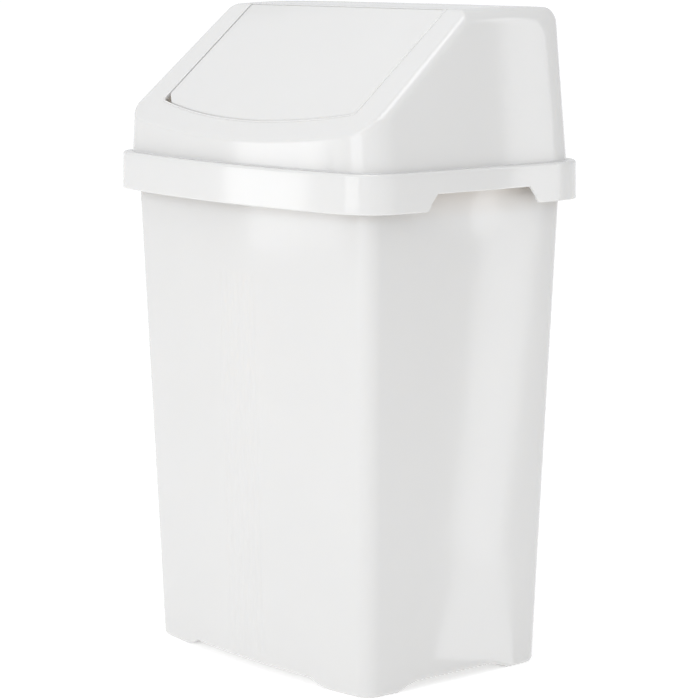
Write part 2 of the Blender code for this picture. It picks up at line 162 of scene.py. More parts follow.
# Fineness of the meshes
FRONT_COLUMNS = 24
SIDE_COLUMNS = 16
BACK_COLUMNS = 20
CORNER_COLUMNS = 12
NOTCH_COLUMNS = [0.0400, 0.0200]  # places along the side, from its middle
FLUTE_COLUMNS = 8
WING_COLUMNS = 10
BODY_ROW_STEP = 0.0060
BODY_LAST_STEP = 0.0080
FLARE_STEPS = 12
INNER_ROW_STEP = 0.0300
INNER_FOOT_ROWS = (0.050, 0.035, 0.020, 0.012)
FLOOR_STEPS = 30
KNEE_STEPS = 6
SILL_STEPS = 3
SLOPE_STEPS = 12
RIDGE_STEPS = 6
ROOF_STEPS = 10
BACK_STEPS = 8
HOOD_SIDE_STEPS = 14
HOOD_MIDDLE_STEPS = 12
WINDOW_SIDE_COLUMN = 0.0015
WINDOW_LOW = KNEE_STEPS + SILL_STEPS
WINDOW_HIGH = WINDOW_LOW + SLOPE_STEPS + RIDGE_STEPS + 1
LIP_STEPS = 8
FLAP_FOOT_STEPS = 40
SOFT_STEPS = 5
TAIL_STEPS = 36
PIN_POINTS = 40
LUG_POINTS = 32
MERGE_DISTANCE = 2e-6
ROUNDING_ERROR = 0.0001
SHARP_ANGLE = math.radians(50)

# Camera: from the front right and a little above, with a long lens
CAMERA_PLACE = (2.1263, -1.7694, 0.7438)
CAMERA_TURN = math.radians(50.066)
CAMERA_RISE = math.radians(8.707)
CAMERA_LENS = 137.13

# Plastic: the body's colour is warmed and darkened under the skirt, as painted shade
BODY_COLOUR = (0.68, 0.675, 0.665)
BODY_ROUGHNESS = 0.13
LID_COLOUR = (0.69, 0.685, 0.675)
LID_ROUGHNESS = 0.12
# Painted shade: the body's colour takes this warm darker tint from a little below the skirt's edge upwards,
# fading in over the height below
PAINTED_SHADE_TINT = (0.94, 0.89, 0.84)
PAINTED_SHADE_FADE = 0.030
PAINTED_SHADE_DROP = 0.012

# Light: a pale world and floor, three soft panels, two panels and two strips that only show in the gloss,
# and a lamp in the bin. Each panel has its place, the point that it faces, its size and its energy.
WORLD_STRENGTH = 0.78
FLOOR_SIZE = 60.0
FLOOR_GLOW = 0.36
COOL = (0.985, 0.994, 1.008)
WARM = (1.0, 0.93, 0.87)
SOFT_PANELS = {
    "front_panel": ((0.5, -2.6, 1.0), (0.0, 0.0, 0.40), (1.6, 1.7), 15.0),
    "top_panel": ((0.3, -0.3, 2.4), (0.0, 0.0, 0.40), (0.9, 0.9), 8.2),
    "corner_panel": ((2.0, -3.0, 1.9), (0.0, 0.0, 0.40), (1.2, 1.2), 7.0),
}
GLOW_PANELS = {
    "left_glow": ((-1.02, -1.34, 0.45), (0.05, -0.16, 0.50), (0.52, 0.50), 1.8),
    "high_glow": ((-1.35, -0.20, 1.75), (0.08, 0.0, 0.62), (0.90, 1.50), 1.3),
}
STREAK_AIM = (0.19, 0.04, 0.46)
STREAK_DISTANCE = 0.42
STREAK_TURN = math.radians(48.0)
STREAK_LEAN = math.radians(-3.7)
STREAK_SIZE = (0.082, 0.92)
STREAK_ENERGY = 0.50
FLOOR_STREAK_TURN = math.radians(45.0)
FLOOR_STREAK_DISTANCE = 0.22
FLOOR_STREAK_HEIGHT = 0.003
FLOOR_STREAK_SIZE = (0.40, 0.085)
FLOOR_STREAK_ENERGY = 0.17
INNER_GLOW = 0.55
INNER_GLOW_PLACE = (0.0, 0.0, 0.36)
INNER_GLOW_RADIUS = 0.05

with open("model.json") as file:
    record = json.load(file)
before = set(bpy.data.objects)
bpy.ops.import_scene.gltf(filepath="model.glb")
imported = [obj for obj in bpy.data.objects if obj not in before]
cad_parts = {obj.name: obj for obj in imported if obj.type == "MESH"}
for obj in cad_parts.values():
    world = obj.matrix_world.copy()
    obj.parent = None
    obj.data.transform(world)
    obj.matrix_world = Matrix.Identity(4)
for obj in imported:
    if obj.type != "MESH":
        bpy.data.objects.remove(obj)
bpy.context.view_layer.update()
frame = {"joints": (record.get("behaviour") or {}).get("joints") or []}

# Worked out from the CAD frame and the sizes above
lid_low, lid_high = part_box("lid_hood")
pivot = next(Vector(j["pos_m"]) for j in frame["joints"] if j["name"] == "flap_swing")
skirt_z = lid_low.z
roof_z = lid_high.z - ROOF_CROWN
ledge_z = skirt_z + SKIRT_HEIGHT
rim_z = ledge_z - LID_WALL - REST_GAP
half_width = OVERALL_WIDTH / 2 - SIDE_BOW
half_depth = (lid_high.y - lid_low.y - FRONT_BOW - BACK_BOW) / 2
middle_y = lid_low.y + FRONT_BOW + half_depth
hood_base_half_width = half_width - LEDGE_SIDE
hood_front_y = middle_y - half_depth + LEDGE_FRONT
hood_back_y = middle_y + half_depth - LEDGE_BACK
hood_corner = SKIRT_CORNER - LEDGE_SIDE
knee_z = ledge_z + FRONT_BAND_HEIGHT
slope_length = (roof_z - knee_z) / math.sin(SLOPE_ANGLE)
opening_half_width = half_width - LEDGE_SIDE - HOOD_SIDE_DRAFT / 2 - RAIL_WIDTH
opening_foot = SILL_WIDTH - HOOD_FRONT_BOW / math.cos(SLOPE_ANGLE)
opening_top = slope_length + OPENING_PAST_RIDGE
flap_half_width = opening_half_width - FLAP_GAP
flap_foot = opening_foot + FLAP_GAP
flap_top = opening_top - FLAP_GAP
sill_curve = SILL_CURVE_RISE / opening_half_width**2
body_half_width = half_width - BODY_INSET
body_half_depth = half_depth - BODY_INSET
skirt_bows = (FRONT_BOW, BACK_BOW, SIDE_BOW)
body_bows = (BODY_FRONT_BOW, BACK_BOW, INNER_SIDE_BOW)


# ---- Helpers -------------------------------------------------------------------------------------------


def ease(t):
    t = min(max(t, 0.0), 1.0)
    return t * t * (3 - 2 * t)


def lerp(a, b, t):
    return a + (b - a) * t


def quarter(steps):
    """Angles from 0 to a quarter turn."""
    return [math.pi / 2 * k / steps for k in range(steps + 1)]


def even_stops(count):
    return [2 * k / count - 1 for k in range(count + 1)]


def reach_of(half_chord, bow):
    """Radius of the arc through a bowed face, less the corner radius that meets it on a tangent."""
    return (half_chord**2 + bow**2) / (2 * bow)


def face_arc(half_chord, bow, corner, distance, stops):
    """Points along a bowed face at stops from -1 to 1, as (along, outwards)."""
    reach = reach_of(half_chord, bow)
    radius = reach + corner
    end = radius * math.sin(math.atan2(half_chord, reach - bow))
    centre = distance + bow - radius
    return [(stop * end, centre + math.sqrt(radius**2 - (stop * end) ** 2)) for stop in stops]


def outline(a, b, corner, bows, middle, front_stops=None, side_stops=None):
    """A rounded rectangle with bowed faces, counter-clockwise from its front left: a and b are the half
    sizes at the ends of the corner arcs, and the face arcs meet the corner arcs on tangents."""
    front_stops = front_stops or even_stops(FRONT_COLUMNS)
    side_stops = side_stops or even_stops(SIDE_COLUMNS)
    front, back, side = bows
    chord_x = a - corner
    chord_y = b - corner
    turn_front = math.atan2(chord_x, reach_of(chord_x, front) - front)
    turn_back = math.atan2(chord_x, reach_of(chord_x, back) - back)
    turn_side = math.atan2(chord_y, reach_of(chord_y, side) - side)

    def arc(centre_x, centre_y, start, stop):
        points = []
        for step in range(1, CORNER_COLUMNS):
            angle = lerp(start, stop, step / CORNER_COLUMNS)
            points.append((centre_x + corner * math.cos(angle), centre_y + corner * math.sin(angle)))
        return points

    turn = math.pi / 2
    front_face = [(x, -y) for x, y in face_arc(chord_x, front, corner, b, front_stops)]
    right_face = [(x, y) for y, x in face_arc(chord_y, side, corner, a, side_stops)]
    back_face = [(-x, y) for x, y in face_arc(chord_x, back, corner, b, even_stops(BACK_COLUMNS))]
    left_face = [(-x, y) for x, y in reversed(right_face)]
    points = front_face + arc(chord_x, -chord_y, turn_front - turn, -turn_side)
    points += right_face + arc(chord_x, chord_y, turn_side, turn - turn_back)
    points += back_face + arc(-chord_x, chord_y, turn + turn_back, math.pi - turn_side)
    points += left_face + arc(-chord_x, -chord_y, math.pi + turn_side, 3 * turn - turn_front)
    return [(x, y + middle) for x, y in points]


class Shell:
    """A mesh put together from rows of points, one row to the next."""

    def __init__(self):
        self.bm = bmesh.new()

    def row(self, points):
        return [self.bm.verts.new(point) for point in points]

    def face(self, corners):
        unique = []
        for vert in corners:
            if vert not in unique:
                unique.append(vert)
        if len(unique) > 2 and not self.bm.faces.get(unique):
            self.bm.faces.new(unique)

    def join(self, low, high):
        count = len(low)
        for k in range(count):
            after = (k + 1) % count
            self.face((low[k], low[after], high[after], high[k]))

    def rows(self, rows):
        made = [self.row(points) for points in rows]
        for low, high in zip(made, made[1:]):
            self.join(low, high)
        return made

    def cap(self, row):
        self.bm.faces.new(row)

    def finish(self, name, body, material):
        bmesh.ops.remove_doubles(self.bm, verts=self.bm.verts, dist=MERGE_DISTANCE)
        bmesh.ops.recalc_face_normals(self.bm, faces=self.bm.faces)
        mesh = bpy.data.meshes.new(name)
        self.bm.to_mesh(mesh)
        self.bm.free()
        item = bpy.data.objects.new(name, mesh)
        bpy.context.scene.collection.objects.link(item)
        mesh.materials.append(material)
        mesh.shade_smooth()
        mesh.set_sharp_from_angle(angle=SHARP_ANGLE)
        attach(item, body)
        return item


# ---- Plastic -------------------------------------------------------------------------------------------


def moulded_plastic(name, colour, roughness, painted_shade_above=None):
    """White glossy moulding: a faintly wavy surface with a fine grain, uneven polish and a little depth."""
    material = bpy.data.materials.new(name)
    material.use_nodes = True
    nodes = material.node_tree.nodes
    links = material.node_tree.links
    shader = nodes["Principled BSDF"]
    shader.inputs["IOR"].default_value = 1.49
    shader.inputs["Subsurface Weight"].default_value = 0.30
    shader.inputs["Subsurface Radius"].default_value = (0.9, 0.85, 0.75)
    shader.inputs["Subsurface Scale"].default_value = 0.0030
    place = nodes.new("ShaderNodeTexCoord")

    def noise(scale, detail):
        node = nodes.new("ShaderNodeTexNoise")
        node.inputs["Scale"].default_value = scale
        node.inputs["Detail"].default_value = detail
        links.new(place.outputs["Object"], node.inputs["Vector"])
        return node

    tone = nodes.new("ShaderNodeMixRGB")
    tone.inputs["Color1"].default_value = (*colour, 1.0)
    tone.inputs["Color2"].default_value = (*[c * 0.97 for c in colour], 1.0)
    links.new(noise(7.0, 3.0).outputs["Fac"], tone.inputs["Fac"])
    tint = tone
    # Painted shade: above the given height the base colour is warmed and darkened, for the shade under the
    # lid's skirt
    if painted_shade_above is not None:
        height = nodes.new("ShaderNodeSeparateXYZ")
        links.new(place.outputs["Object"], height.inputs["Vector"])
        fade = nodes.new("ShaderNodeMapRange")
        fade.inputs["From Min"].default_value = painted_shade_above
        fade.inputs["From Max"].default_value = painted_shade_above + PAINTED_SHADE_FADE
        links.new(height.outputs["Z"], fade.inputs["Value"])
        tint = nodes.new("ShaderNodeMixRGB")
        tint.inputs["Color2"].default_value = (*[c * w for c, w in zip(colour, PAINTED_SHADE_TINT)], 1.0)
        links.new(tone.outputs["Color"], tint.inputs["Color1"])
        links.new(fade.outputs["Result"], tint.inputs["Fac"])
    links.new(tint.outputs["Color"], shader.inputs["Base Color"])

    polish = nodes.new("ShaderNodeMapRange")
    polish.inputs["To Min"].default_value = roughness * 0.85
    polish.inputs["To Max"].default_value = roughness * 1.15
    links.new(noise(22.0, 4.0).outputs["Fac"], polish.inputs["Value"])
    links.new(polish.outputs["Result"], shader.inputs["Roughness"])

    wave = nodes.new("ShaderNodeBump")
    wave.inputs["Strength"].default_value = 0.25
    wave.inputs["Distance"].default_value = 0.0012
    links.new(noise(11.0, 1.0).outputs["Fac"], wave.inputs["Height"])
    grain = nodes.new("ShaderNodeBump")
    grain.inputs["Strength"].default_value = 0.12
    grain.inputs["Distance"].default_value = 0.0001
    links.new(noise(900.0, 2.0).outputs["Fac"], grain.inputs["Height"])
    links.new(wave.outputs["Normal"], grain.inputs["Normal"])
    links.new(grain.outputs["Normal"], shader.inputs["Normal"])
    return material


# ---- Body ----------------------------------------------------------------------------------------------


def flute_stops(end):
    """Stops across the front, fine enough across the flutes to draw each groove as a soft wave."""
    band = FLUTE_COUNT * FLUTE_PITCH / 2 / end
    count = FLUTE_COUNT * FLUTE_COLUMNS
    middle = [band * (2 * k / count - 1) for k in range(count + 1)]
    wing = [lerp(-1.0, -band, k / WING_COLUMNS) for k in range(WING_COLUMNS)]
    return wing + middle + [-stop for stop in reversed(wing)]


def foot_rise(x, y):
    """How high the base stands over the ground, between the four corner feet."""
    across = ease((FRONT_ARCH_HALF + FOOT_SLOPE - abs(x)) / FOOT_SLOPE)
    along = ease((SIDE_ARCH_HALF + FOOT_SLOPE - abs(y - middle_y)) / FOOT_SLOPE)
    return FOOT_HEIGHT * max(across, along)


def body_plan(z, inset=0.0):
    """The body's outline at height z, moved inwards by inset, with no flare or flutes."""
    drop = (skirt_z - z) / skirt_z
    a = body_half_width - BODY_TAPER_SIDE * drop - inset
    b = body_half_depth - BODY_TAPER_END * drop - inset
    corner = BODY_CORNER - inset
    reach = reach_of(a - corner, BODY_FRONT_BOW)
    end = (reach + corner) * math.sin(math.atan2(a - corner, reach - BODY_FRONT_BOW))
    return outline(a, b, corner, body_bows, middle_y, flute_stops(end))


def flute_shade(z):
    """How deep the flutes are at height z: they fade out at their top and just above the base."""
    top = skirt_z - FLUTE_TOP_DROP
    return ease((top - z) / FLUTE_FADE) * ease((z - BASE_ROUND) / FOOT_SLOPE)


def flare(x, y, z):
    """Each side swells into the rim in the middle and not at the corners."""
    along = abs(y - middle_y) / (body_half_depth - BODY_CORNER)
    if along >= 1 or abs(x) < body_half_width / 2:
        return 0.0
    share = math.cos(math.pi / 2 * along) ** 2
    start = skirt_z - lerp(FLARE_START_CORNER, FLARE_START_MIDDLE, share)
    return math.copysign(FLARE_OUT * share * ease((z - start) / (rim_z - start)), x)


def body_row(z, inset=0.0, fluted=False):
    """One row of the wall; near the base it lifts over the arches between the feet."""
    row = []
    band = FLUTE_COUNT * FLUTE_PITCH / 2
    for x, y in body_plan(z, inset):
        lift = foot_rise(x, y) * (1 - z / LIFT_FADE) if z < LIFT_FADE else 0.0
        depth = 0.0
        if fluted and y < middle_y and abs(x) <= band:
            depth = FLUTE_DEPTH * flute_shade(z) * (0.5 + 0.5 * math.cos(math.tau * x / FLUTE_PITCH))
        row.append((x + flare(x, y, z), y + depth, z + lift))
    return row


def rim_row(z, inset):
    """The rim runs along the inside of the lid's skirt, clear of it, and carries no flare."""
    move = LID_WALL + SKIRT_DRAFT + RIM_CLEARANCE + inset
    corner = SKIRT_CORNER - move
    stops = flute_stops(half_width - move - corner)
    plan = outline(half_width - move, half_depth - move, corner, skirt_bows, middle_y, stops)
    return [(x, y, z) for x, y in plan]


def floor_rows(inset, lift):
    """The base from its outline inwards, following the arches between the feet."""
    plan = body_plan(lift, inset)
    rows = []
    for step in range(1, FLOOR_STEPS):
        size = 1 - step / FLOOR_STEPS
        row = []
        for x, y in plan:
            px, py = x * size, middle_y + (y - middle_y) * size
            row.append((px, py, foot_rise(px, py) + lift))
        rows.append(row)
    return rows


def outside_rows():
    """From the middle of the underside out to the base's edge and up the outside. Also gives the height at
    which the flare starts."""
    rows = list(reversed(floor_rows(BASE_ROUND, 0.0)))
    for angle in quarter(6):
        height = BASE_ROUND * (1 - math.cos(angle))
        rows.append(body_row(height, BASE_ROUND * (1 - math.sin(angle)), True))
    z = BASE_ROUND
    while z + BODY_LAST_STEP < skirt_z - FLARE_START_MIDDLE:
        z += BODY_ROW_STEP
        rows.append(body_row(z, 0.0, True))
    for step in range(1, FLARE_STEPS + 1):
        rows.append(body_row(lerp(z, rim_z - RIM_EDGE, step / FLARE_STEPS)))
    return rows, z


def rim_rows():
    """From the outside wall out under the rim's flange, round its lip, and over the top to the inside."""
    under = rim_z - RIM_EDGE
    lip = rim_z - RIM_DROP
    rows = [rim_row(under, RIM_EDGE + RIM_ROOT_ROUND), rim_row(under - RIM_ROOT_ROUND, RIM_EDGE)]
    rows += [rim_row(lip + RIM_LIP_ROUND, RIM_EDGE), rim_row(lip, RIM_EDGE - RIM_LIP_ROUND)]
    rows += [rim_row(lip, RIM_LIP_ROUND), rim_row(lip + RIM_LIP_ROUND, 0.0)]
    for angle in quarter(4):
        height = rim_z - RIM_TOP_ROUND * (1 - math.sin(angle))
        rows.append(rim_row(height, RIM_TOP_ROUND * (1 - math.cos(angle))))
    for inset, drop in ((RIM_INNER_ROUND, 0.0), (RIM_INNER_BREAK, RIM_INNER_BREAK)):
        rows.append([(x, y, rim_z - drop) for x, y, z in body_row(rim_z, BODY_WALL - inset)])
    return rows


def inside_rows(flare_low):
    """From the rim down the inside, round to the floor and in to its middle."""
    rows = []
    for step in range(FLARE_STEPS + 1):
        rows.append(body_row(lerp(rim_z - RIM_INNER_DROP, flare_low, step / FLARE_STEPS), BODY_WALL))
    z = flare_low
    while z - INNER_ROW_STEP > LIFT_FADE:
        z -= INNER_ROW_STEP
        rows.append(body_row(z, BODY_WALL))
    rows += [body_row(height, BODY_WALL) for height in INNER_FOOT_ROWS]
    for angle in reversed(quarter(5)):
        height = BODY_WALL + FLOOR_ROUND * (1 - math.cos(angle))
        rows.append(body_row(height, BODY_WALL + FLOOR_ROUND * (1 - math.sin(angle))))
    return rows + floor_rows(BODY_WALL + FLOOR_ROUND, BODY_WALL)


def build_body(plastic):
    shell = Shell()
    outside, flare_low = outside_rows()
    made = shell.rows(outside + rim_rows() + inside_rows(flare_low))
    shell.cap(made[0])
    shell.cap(made[-1])
    item = shell.finish("bin_body_moulding", "bin", plastic)
    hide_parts("bin_body")


# ---- Lid -----------------------------------------------------------------------------------------------


def slope_place(along, depth=0.0, across=0.0):
    """A point on the slope: along it from the knee, depth below its surface, across from its middle."""
    y = hood_front_y + along * math.cos(SLOPE_ANGLE) + depth * math.sin(SLOPE_ANGLE)
    z = knee_z + along * math.sin(SLOPE_ANGLE) - depth * math.cos(SLOPE_ANGLE)
    return Vector((across, y, z))


def notch_rise(y):
    """Height of the hand notch's edge over the skirt's edge, at a place along the side."""
    x = abs(y - middle_y)
    half = NOTCH_LENGTH / 2
    knots = []
    for angle in quarter(6):
        knots.append((half + NOTCH_ROUND * (1 - math.sin(angle)), NOTCH_ROUND * (1 - math.cos(angle))))
    end = half - NOTCH_END_SLANT
    knots.append((end, NOTCH_HEIGHT - NOTCH_TOP_ROUND))
    knots.append((end - NOTCH_TOP_BREAK, NOTCH_HEIGHT - NOTCH_TOP_BREAK))
    knots.append((end - NOTCH_TOP_ROUND, NOTCH_HEIGHT))
    if x >= knots[0][0]:
        return 0.0
    for (x1, z1), (x2, z2) in zip(knots, knots[1:]):
        if x >= x2 and x1 > x2:
            return lerp(z1, z2, (x1 - x) / (x1 - x2))
    return NOTCH_HEIGHT


def notch_stops(end):
    """Stops along a side with columns where the notch's edge turns."""
    half = NOTCH_LENGTH / 2
    marks = [half + NOTCH_ROUND * (1 - math.sin(angle)) for angle in quarter(6)]
    slant_end = half - NOTCH_END_SLANT
    marks += [half - NOTCH_ROUND / 2, slant_end, slant_end - NOTCH_TOP_BREAK, slant_end - NOTCH_TOP_ROUND]
    marks += [half - 2 * NOTCH_END_SLANT] + NOTCH_COLUMNS
    right = sorted(mark / end for mark in marks if mark < end * 0.98)
    rest = [lerp(right[-1], 1.0, k / 4) for k in range(1, 5)]
    positive = right + rest
    return [-stop for stop in reversed(positive)] + [0.0] + positive


def skirt_plan(inset):
    """The skirt's outline, with columns where the notches' edges turn."""
    a = half_width - inset
    b = half_depth - inset
    corner = SKIRT_CORNER - inset
    reach = reach_of(b - corner, SIDE_BOW)
    end = (reach + corner) * math.sin(math.atan2(b - corner, reach - SIDE_BOW))
    return outline(a, b, corner, skirt_bows, middle_y, None, notch_stops(end))


def skirt_row(height, inset):
    """One row of the skirt, at a height above its lower edge, which rises over the notches."""
    top = ledge_z - skirt_z
    row = []
    for (x1, y1), (x2, y2) in zip(skirt_plan(inset), skirt_plan(inset + SKIRT_DRAFT)):
        rise = notch_rise(y1) if abs(x1) > half_width - inset - SIDE_BAND else 0.0
        rise *= 1 - min(max(height / (top - SKIRT_EDGE_ROUND), 0.0), 1.0)
        share = (height + rise) / top
        row.append((lerp(x1, x2, share), lerp(y1, y2, share), skirt_z + height + rise))
    return row


def rounding(radius, distance):
    """How far a surface has fallen away at a distance from the side, where it is rounded by radius."""
    if distance >= radius:
        return 0.0
    return radius - math.sqrt(radius**2 - (radius - distance) ** 2)


def face_line(x, half, corner, bow):
    """How far a bowed face with rounded ends stands out at x, from the line through its corner arcs."""
    x = min(abs(x), half)
    reach = reach_of(half - corner, bow)
    turn = math.atan2(half - corner, reach - bow)
    radius = reach + corner
    if x <= radius * math.sin(turn):
        return bow - radius + math.sqrt(radius**2 - x**2)
    return math.sqrt(max(corner**2 - (x - half + corner) ** 2, 0.0)) - corner


def fillet(corner, before, after, radius, steps):
    """Points of a round in a section, at a corner between two unit directions that meet there."""
    turn = math.acos(before[0] * after[0] + before[1] * after[1])
    tangent = radius * math.tan(turn / 2)
    start = (corner[0] - before[0] * tangent, corner[1] - before[1] * tangent)
    side = (before[1], -before[0])
    points = []
    for step in range(steps + 1):
        angle = turn * step / steps
        along = radius * math.sin(angle)
        across = radius * (1 - math.cos(angle))
        y = start[0] + before[0] * along + side[0] * across
        z = start[1] + before[1] * along + side[1] * across
        points.append((y, z))
    return points


def half_at(z, inset):
    """The hood's half width at height z."""
    return hood_base_half_width - inset - HOOD_SIDE_DRAFT * (z - ledge_z) / (roof_z - ledge_z)


def sill_at(x, half, foot, corner):
    """Along the slope, the place of an outline's foot at x: a shallow curve with its corners cut off."""
    x = min(abs(x), half)
    at = foot + sill_curve * min(x, half - corner) ** 2
    if x > half - corner:
        at += CORNER_CUT * (x - half + corner)
    return at


def hood_section(front_y, back_y, slope_depth, roof_drop, inset, window):
    """The hood's upper line in a lengthwise section, as (y, z) from the front wall over to the back wall.
    The slope has fixed steps between its two rounds, two of them at the edges of the window."""
    c = math.cos(SLOPE_ANGLE)
    s = math.sin(SLOPE_ANGLE)
    base = slope_place(0.0, slope_depth)
    top = roof_z - roof_drop
    knee = (front_y, base.z + (front_y - base.y) * s / c)
    ridge = (base.y + (top - base.z) * c / s, top)
    back = (back_y, top)
    points = fillet(knee, (0.0, 1.0), (c, s), max(KNEE_ROUND - inset, LEAST_ROUND), KNEE_STEPS)
    ridge_points = fillet(ridge, (c, s), (1.0, 0.0), max(RIDGE_ROUND - inset, LEAST_ROUND), RIDGE_STEPS)
    low = (points[-1][0] - base.y) / c
    high = (ridge_points[0][0] - base.y) / c
    foot = max(window, low + SILL_LEAST)
    alongs = [lerp(low, foot, k / SILL_STEPS) for k in range(1, SILL_STEPS + 1)]
    alongs += [lerp(foot, high, k / SLOPE_STEPS) for k in range(1, SLOPE_STEPS)]
    points += [(base.y + along * c, base.z + along * s) for along in alongs]
    points += ridge_points
    start = points[-1][0] + ROOF_LIP
    points.append((start, top))
    span = back_y - (ROOF_ROUND - inset) - start
    points += [(start + span * step / ROOF_STEPS, top) for step in range(1, ROOF_STEPS)]
    points += fillet(back, (1.0, 0.0), (0.0, -1.0), ROOF_ROUND - inset, BACK_STEPS)
    crowned = []
    for y, z in points:
        share = min(max((y - ridge[0]) / (back_y - ridge[0]), 0.0), 1.0)
        crowned.append((y, z + ROOF_CROWN * 4 * share * (1 - share)))
    return crowned


def hood_stations(inset):
    """Stations across the hood as (share of the half-width, distance from the side): fine at the rounded
    sides and at the window's edges."""
    corner = hood_corner - inset
    side = [(1.0, corner * (1 - math.sin(angle))) for angle in quarter(HOOD_SIDE_STEPS)]
    flat = half_at(knee_z, inset) - corner
    edge = opening_half_width + OPENING_LIP
    inner = edge - 2 * OPENING_CORNER
    marks = [edge, edge - WINDOW_SIDE_COLUMN, edge - OPENING_CORNER, inner]
    marks += [lerp(inner, 0.0, k / HOOD_MIDDLE_STEPS) for k in range(1, HOOD_MIDDLE_STEPS)]
    middle = sorted(mark / flat for mark in marks if mark < flat * 0.995)
    positive = [(share, corner) for share in middle] + side
    negative = [(-share, distance) for share, distance in reversed(positive)]
    return negative + [(0.0, corner)] + positive


def hood_grid(inset, bottom_z):
    """The hood's surface as stations across. Each is a list of points from the foot of its front over to the
    foot of its back, and the same points dropped to its foot, which the flat sides are made between."""
    corner = hood_corner - inset
    front = hood_front_y + HOOD_FRONT_DRAFT / 2 + inset
    back = hood_back_y - HOOD_BACK_DRAFT - inset
    edge = opening_half_width + OPENING_LIP

    def reach(distance, half):
        """How far from the side a station lies, kept clear of the window's edge where the hood narrows."""
        return distance * min(1.0, (half - edge - WINDOW_CLEARANCE) / corner)

    stations = []
    for share, distance in hood_stations(inset):
        half = half_at(knee_z, inset)
        x = share * (half - distance)
        middle = abs(share) < 1.0
        front_y = front - face_line(x, half, corner, HOOD_FRONT_BOW)
        window = sill_at(x, edge, opening_foot - OPENING_LIP, OPENING_CORNER)
        half = half_at(roof_z, inset)
        back_x = x if middle else share * (half - reach(distance, half))
        back_y = back + face_line(back_x, half, corner, BACK_BOW)
        slope_depth = inset + rounding(SLOPE_EDGE_ROUND - inset, distance)
        roof_drop = inset + rounding(ROOF_ROUND - inset, distance)
        section = hood_section(front_y, back_y, slope_depth, roof_drop, inset, window)

        def place(y, z):
            swell = INNER_SIDE_BOW * max(1 - ((y - middle_y) / (half_depth - hood_corner)) ** 2, 0.0)
            swell *= 1 - distance / corner
            if middle:
                return (x, y, z)
            half = half_at(z, inset)
            return (share * (half - reach(distance, half) + swell), y, z)

        feet = [y for y, z in section]
        feet[0] -= HOOD_FRONT_DRAFT / 2
        feet[-1] += HOOD_BACK_DRAFT
        stations.append(([place(y, z) for y, z in section], [place(y, bottom_z) for y in feet]))
    return stations


def offset_loop(points, distance):
    """A closed loop in plan moved outwards by distance, for a loop that runs counter-clockwise."""
    moved = []
    count = len(points)
    for k, (x, y, z) in enumerate(points):
        before = Vector(points[k - 1][:2])
        after = Vector(points[(k + 1) % count][:2])
        along = (after - before).normalized()
        moved.append((x + along.y * distance, y - along.x * distance, z))
    return moved


def window_vertices(grid, columns):
    """The window's edge on a hood grid, counter-clockwise from its lower left corner."""
    left, right = columns
    loop = [grid[i][WINDOW_LOW] for i in range(left, right)]
    loop += [grid[right][k] for k in range(WINDOW_LOW, WINDOW_HIGH)]
    loop += [grid[i][WINDOW_HIGH] for i in range(right, left, -1)]
    return loop + [grid[left][k] for k in range(WINDOW_HIGH, WINDOW_LOW, -1)]


def add_hood(shell, inset, bottom_z):
    """Adds the hood's outer or inner surface with its window left open. Returns its grid, its foot loop and
    the columns of the window's sides."""
    stations = hood_grid(inset, bottom_z)
    tops = [shell.row(top) for top, foot in stations]
    feet = [shell.row(foot) for top, foot in stations]
    edge = opening_half_width + OPENING_LIP
    inside = [i for i, (top, foot) in enumerate(stations) if abs(top[WINDOW_LOW][0]) < edge + ROUNDING_ERROR]
    columns = (inside[0], inside[-1])
    last = len(tops[0]) - 1
    for i in range(len(tops) - 1):
        for k in range(last):
            if columns[0] <= i < columns[1] and WINDOW_LOW <= k < WINDOW_HIGH:
                continue
            shell.face((tops[i][k], tops[i][k + 1], tops[i + 1][k + 1], tops[i + 1][k]))
        shell.face((feet[i][0], tops[i][0], tops[i + 1][0], feet[i + 1][0]))
        shell.face((tops[i][last], feet[i][last], feet[i + 1][last], tops[i + 1][last]))
    for i in (0, len(tops) - 1):
        for k in range(last):
            shell.face((feet[i][k], feet[i][k + 1], tops[i][k + 1], tops[i][k]))
    foot_loop = [row[0] for row in feet] + feet[-1][1:]
    foot_loop += [row[last] for row in reversed(feet[:-1])] + feet[0][last - 1 : 0 : -1]
    return tops, foot_loop, columns


